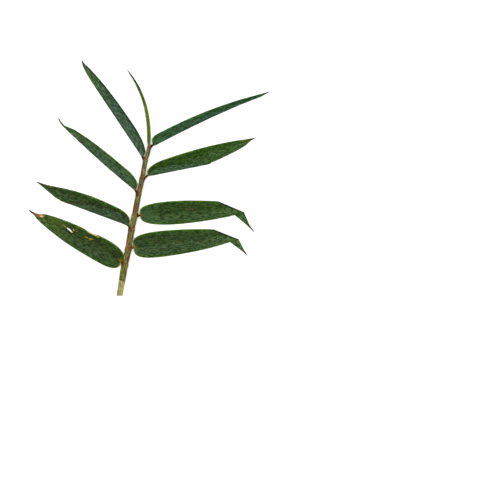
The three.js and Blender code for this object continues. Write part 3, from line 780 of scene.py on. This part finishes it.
def layBlade(piece, leaf):  # from the flat, folded blade to its place on the stem
    def move(u, v, w):
        waving = 1 - clamp(-w / blade["layer"]) if leaf["tuck"] else 1.0
        height = max(bladeHeight(leaf, u, v, waving) + w, blade["thick"] / 2 + 0.01)
        return placed(*bladePlace(leaf, u, v), height, leaf["side"])

    reshape(piece, move)
    if leaf["side"] < 0:
        editWhole(piece, bpy.ops.mesh.flip_normals)


def bladeMaterials(leaf, seed):
    upper = {**blade["look"], **leaf["look"], "seed": seed}
    under = {**upper, **dict.fromkeys(("lower", "upper", "edge"), leaf["under"]), **blade["underLook"],
        **leaf["underLook"], "seed": seed + 20}
    return (makeMaterial(leaf["name"] + "Upper", bladeFinish, upper, leaf["marks"], blade),
        makeMaterial(leaf["name"] + "Under", bladeFinish, under, leaf["underMarks"], blade))


def cutHole(piece, leaf):
    u, v, holeLong, holeWide, turn = leaf["hole"]
    cutter = addRod("cutter", 36, 2)
    heading = radians(90 - leaf["turn"] + turn)
    x0, y0 = bladePlace(leaf, u, v)

    def move(x, y, z):
        ragged = 1 + blade["holeRagged"] * rough(x * 2.2, y * 2.2, 0.5)
        long, wide = holeLong * x * ragged, holeWide * y * ragged
        return placed(x0 + long * cos(heading) - wide * sin(heading),
            y0 + long * sin(heading) + wide * cos(heading), (z - 0.5) * 8, leaf["side"])

    reshape(cutter, move)
    editWhole(cutter, bpy.ops.mesh.normals_make_consistent, inside=False)
    applyModifier(piece, "BOOLEAN", object=cutter, operation="DIFFERENCE", solver="EXACT")
    bpy.data.objects.remove(cutter)


def makeBlade(leaf, seed):
    piece = addSheet(leaf["name"] + "Blade", *blade["cuts"])

    def flatPlace(x, y):  # share and millimetres along and across, with closer rows at both ends
        x = lerp(x, 0.5 - 0.5 * cos(pi * x), blade["crowding"])
        half = upperMargin(leaf, x) if y > 0 else flapWidth(leaf, x) - lowerEdge(leaf, x)
        return x, y, x * leaf["length"], y * half

    def maps(point, middle):
        x, y, u, v = flatPlace(point.x, point.y)
        return (x, y / 2 + 0.5), (u / 10, v / 10)

    def relief(x, y, z):
        x, y, u, v = flatPlace(x, y)
        fade = smooth(x, 0, 0.03) * smooth(1 - x, 0, 0.06)
        rib = bump(v, -blade["ribDepth"], 0, blade["ribWidth"]) * (1 - 0.6 * x)
        veins = -blade["veinDepth"] * cos(2 * pi * blade["veins"] * y) * smooth(abs(y), 0.06, 0.15)
        cockle = blade["cockle"] * rough(u * 0.32, v * 0.9, seed * 7.3)
        return u, v, (rib + veins + cockle) * fade

    writeMaps(piece, maps)
    reshape(piece, relief)
    if leaf["flap"] or leaf["tuck"]:
        foldBlade(piece, leaf)
    editWhole(piece, bpy.ops.mesh.remove_doubles, threshold=0.004)
    layBlade(piece, leaf)
    for material in bladeMaterials(leaf, seed):
        piece.data.materials.append(material)
    applyModifier(piece, "SOLIDIFY", thickness=blade["thick"] * mm, offset=0, material_offset=1)
    if "hole" in leaf:
        cutHole(piece, leaf)
    finishPiece(piece, 40)
    return piece


sheath = {
    "cuts": (46, 60), "thick": 0.09,
    "lowest": 7.6, "lap": 1.2,  # where the first begins, and how far each goes into the one before
    "slack": 0.09, "wallThin": 0.14, "wallGrowth": 0.08, "footShare": 0.65, "sunk": 0.04,
    "flareStart": 2.6, "flareFull": 1.5, "tilt": 0.45, "tiltFrom": 2.5,
    "collar": (0.03, 0.5, 0.3),  # height, place below the mouth, width
    "seam": 128,  # the free margin lies on the side away from the blade, a little above the middle
    "step": 0.12, "overlap": 0.5, "marginDip": 0.02,
    "ridge": 0.014, "ridges": 21, "worn": 0.12, "girth": 9, "relief": 0.05, "shine": 0.08,
    "look": {"collar": (136, 94, 38), "end": (66, 38, 18), "endStart": 0.84, "foot": (85, 60, 25),
        "footReach": 0.1, "contrast": 1.3},
}


def sheathTurn(angle):  # place round the sheath, in millimetres, of an angle from the leaf's side
    hidden = sheath["seam"] + degrees(sheath["overlap"])
    return (angle if angle > hidden else angle + 360) / 360 * sheath["girth"]


def wallAt(y, share=1):
    return share * (sheath["wallThin"] + sheath["wallGrowth"] * stemAt(y)[2]) + sheath["slack"]


def sheathOutside(foot, top):  # place along the stem, and the sheath's outside above the culm
    thin, lap = sheath["footShare"], sheath["lap"]
    lip = wallAt(top, 2 * thin) + sheath["slack"]
    return [(foot, wallAt(foot, thin)), (foot + 2 * lap, wallAt(foot, thin)), (foot + 3 * lap, wallAt(foot)),
        (top - sheath["flareStart"], wallAt(top)), (top - sheath["flareFull"], lip), (top, lip)]


def makeSheath(leaf, foot, seed):
    piece = addSheet(leaf["name"] + "Sheath", *sheath["cuts"])
    top, side = leaf["mouth"], leaf["side"]
    outside = sheathOutside(foot, top)

    def around(y):
        return radians(sheath["seam"]) + (y + 1) / 2 * (2 * pi + sheath["overlap"])

    def maps(point, middle):
        turn = around(point.y) / (2 * pi)
        return (point.x, turn), (lerp(foot, top, point.x) / 10, turn * sheath["girth"] / 10)

    def move(x, y, z):
        angle, turn, place = around(y), (y + 1) / 2, lerp(foot, top, x)
        ridge = sheath["ridge"] * cos(sheath["ridges"] * angle + seed)
        out = (along(outside, place) - sheath["sunk"] - sheath["step"] * (1 - turn)
            + bump(top - place, *sheath["collar"]) + ridge - sheath["marginDip"] * smooth(turn, 0.93, 1))
        tilt = sheath["tilt"] * smooth(place, top - sheath["tiltFrom"], top) * cos(angle)
        worn = rough(cos(angle) * 2, sin(angle) * 2, seed) * (x == 1)
        return roundCulm(place, angle, out, tilt + sheath["worn"] * worn, side=side)

    writeMaps(piece, maps)
    reshape(piece, move)
    if side > 0:
        editWhole(piece, bpy.ops.mesh.flip_normals)
    applyModifier(piece, "SOLIDIFY", thickness=sheath["thick"] * mm, offset=-1)
    marks = [{**spec, "at": (spec["at"][0], sheathTurn(spec["at"][1]))} for spec in leaf["barkMarks"]]
    look = {**sheath["look"], **leaf["bark"], "seed": seed}
    finishPiece(piece, 35, makeMaterial(leaf["name"] + "Bark", bark, look, marks, sheath))
    return piece


stalk = {
    "cuts": (20, 26), "girth": 3, "relief": 0.05, "shine": 0.08,
    "inside": (0.6, 1, 0.9),  # it starts beside the culm's axis and below the mouth of the sheath
    "heading": 80, "landing": 0.3,  # how it leaves the sheath, and how low it meets the blade
    "reach": 1.3, "above": 0.12,  # it runs out on the midrib
    # share of the way to the blade, then of the reach on it, with half width and half thickness
    "sizes": [(0, 0.9, 0.6), (0.35, 0.8, 0.58), (0.62, 0.6, 0.52), (1, 0.46, 0.38)],
    "runOut": [(0.5, 0.3, 0.2), (1, 0.05, 0.12)],
    "look": {"collar": (150, 122, 34), "end": (150, 122, 34), "endStart": 0.48, "foot": (70, 42, 20),
        "footReach": 0.2, "contrast": 0.7, "seed": 9.0},
    "colours": {"dark": ((50, 30, 14), (84, 52, 20)), "golden": ((120, 76, 20), (160, 122, 28))},
}
stalkMaterials = {kind: makeMaterial(kind + "Stalk", bark, {**stalk["look"], "main": main, "side": side}, [],
    stalk) for kind, (main, side) in stalk["colours"].items()}


def makeStalk(leaf):
    piece = addRod(leaf["name"] + "Stalk", *stalk["cuts"])
    mouth, (footX, footY), reach = leaf["mouth"], leaf["foot"], stalk["reach"]
    beside, below, axisBelow = stalk["inside"]
    startX, startY = leaf["side"] * stemAt(mouth - axisBelow)[0] + beside, mouth - below
    run = hypot(footX - startX, footY - startY)
    total = run + reach
    sizes = [(share * run, wide, high) for share, wide, high in stalk["sizes"]]
    sizes += [(run + share * reach, wide, high) for share, wide, high in stalk["runOut"]]

    def centre(place):
        if place < run:
            part = place / run
            height = lerp(stemAt(mouth)[1], stalk["landing"] + blade["footLift"], part ** 1.5)
            return lerp(startX, footX, part), lerp(startY, footY, part), height
        return *bladePlace(leaf, place - run, 0), bladeHeight(leaf, place - run, 0) + stalk["above"]

    def maps(point, middle):
        turn = rodTurn(point, middle)
        return (point.z, turn), (point.z * total / 10, turn * stalk["girth"] / 10)

    def move(x, y, z):
        place = z * total
        x0, y0, z0 = centre(place)
        across, up = along(sizes, place) * x, along(sizes, place, 2) * y
        turn = radians(lerp(stalk["heading"], leaf["turn"], smooth(place, 0, run)))
        return placed(x0 - across * cos(turn), y0 + across * sin(turn), z0 + up, leaf["side"])

    writeMaps(piece, maps)
    reshape(piece, move)
    editWhole(piece, bpy.ops.mesh.normals_make_consistent, inside=False)
    finishPiece(piece, 60, stalkMaterials[leaf["stalk"]])
    return piece


sheathFoot = sheath["lowest"]
for number, leaf in enumerate({**plainLeaf, **special} for special in leaves):
    pieces = [makeBlade(leaf, number), makeSheath(leaf, sheathFoot, number), makeStalk(leaf)]
    handOver(joinPieces(leaf["name"], pieces), leaf["node"])
    sheathFoot = leaf["mouth"] - sheath["lap"]


# the rolled leaf

roll = {
    "side": -1, "foot": (-0.12, 75.1), "turn": 26.8, "length": 41.2, "bow": (5.45, 2.6, 3.1), "pressed": 0.75,
    "halves": [(0, 0.6), (1.7, 0.62), (3.2, 1), (16, 0.92), (30, 0.72), (37, 0.42), (41.2, 0.16)],
    "turns": 1.6, "tightness": 0.62,  # how often it is rolled, and how far in the inner margin lies
    "start": 60, "thin": 0.35,  # where the outer margin lies, and the share of the width left at the tip
    "thick": 0.1, "cuts": (120, 96), "ridge": 0.012, "ridges": 26,
    "look": {"lower": (90, 122, 20), "upper": (84, 115, 18), "far": (0.3, 0.26, 0.9, 1),
        "margin": (135, 158, 70), "rib": (95, 124, 30), "foot": (88, 118, 20), "tip": (48, 40, 30),
        "contrast": 0.5, "marginWidth": 0.08, "edge": (110, 136, 50), "rimShare": 0.0, "tipStart": 0.87,
        "seed": 40},
}


def makeRoll():
    piece = addSheet("rolledLeaf", *roll["cuts"])
    length = roll["length"]

    def maps(point, middle):
        half = along(roll["halves"], point.x * length)
        return (point.x, point.y / 2 + 0.5), (point.x * length / 10, point.y * half / 2.2)

    def move(x, y, z):
        u = x * length
        x0, y0 = bladePlace(roll, u, 0)
        nextX, nextY = bladePlace(roll, u + 0.1, 0)
        heading = atan2(nextX - x0, nextY - y0)
        angle = radians(roll["start"]) - (1 - y) * pi * roll["turns"]
        half = along(roll["halves"], u)
        swell = half * lerp(1, roll["thin"], smooth(x, 0.93, 1)) * lerp(roll["tightness"], 1, (1 + y) / 2)
        ridge = roll["ridge"] * cos(roll["ridges"] * angle) * smooth(u, 0, 3)
        out = swell - roll["thick"] / 2 + ridge
        low = half * roll["pressed"] + 0.06
        height = lerp(stemAt(min(y0, stem["end"]))[1], low, smooth(u, 2, 12))
        across, up = out * cos(angle), out * roll["pressed"] * sin(angle)
        return placed(x0 + across * cos(heading), y0 - across * sin(heading), height + up, roll["side"])

    writeMaps(piece, maps)
    reshape(piece, move)
    applyModifier(piece, "SOLIDIFY", thickness=roll["thick"] * mm, offset=0)
    look = {**blade["look"], **roll["look"]}
    finishPiece(piece, 35, makeMaterial("freshRoll", bladeFinish, look, [], blade))
    handOver(piece, "rolled_leaf")


makeRoll()


# floor, light and camera

studio = {
    "floor": (0.93, 0.93, 0.93, 1), "floorSize": 30, "floorRoughness": 0.9,
    "lamps": 4, "lampPower": 10.8, "lampSize": 1.2, "lampAway": 0.95, "lampHeight": 1.25,
    "sky": (1, 1, 1, 1), "skyStrength": 0.48,
    "lens": 100.0, "sensor": 36, "frameWidth": 0.25, "centre": (0.055665, -0.022225), "turn": 11.0,
}
middleX, middleY = studio["centre"]

deselect()
bpy.ops.mesh.primitive_plane_add(size=studio["floorSize"])
floor = bpy.context.object
floor.name = "floor"
floorMaterial = bpy.data.materials.new("whitePaper")
floorMaterial.use_nodes = True
feed(floorMaterial.node_tree, "Principled BSDF", {"Base Color": studio["floor"],
    "Roughness": studio["floorRoughness"], "Specular IOR Level": 0.0})
floor.data.materials.append(floorMaterial)

for number in range(studio["lamps"]):
    angle = radians(45 + 360 / studio["lamps"] * number)
    place = Vector((middleX + studio["lampAway"] * cos(angle),
        middleY + studio["lampAway"] * sin(angle), studio["lampHeight"]))
    bpy.ops.object.light_add(type="AREA", location=place)
    lamp = bpy.context.object
    lamp.name = "softLamp%d" % (number + 1)
    lamp.data.shape = "SQUARE"
    lamp.data.size = studio["lampSize"]
    lamp.data.energy = studio["lampPower"]
    aim = Vector((middleX, middleY, 0)) - place
    lamp.rotation_euler = aim.to_track_quat("-Z", "Y").to_euler()

world = bpy.data.worlds.new("paleRoom")
world.use_nodes = True
feed(world.node_tree, "Background", {"Color": studio["sky"], "Strength": studio["skyStrength"]})
scene = bpy.context.scene
scene.world = world
scene.view_settings.view_transform = "Standard"

distance = studio["frameWidth"] * studio["lens"] / studio["sensor"]
bpy.ops.object.camera_add(location=(middleX, middleY, distance), rotation=(0, 0, radians(studio["turn"])))
camera = bpy.context.object
camera.data.lens = studio["lens"]
camera.data.sensor_width = studio["sensor"]
scene.camera = camera
print("light and camera set")
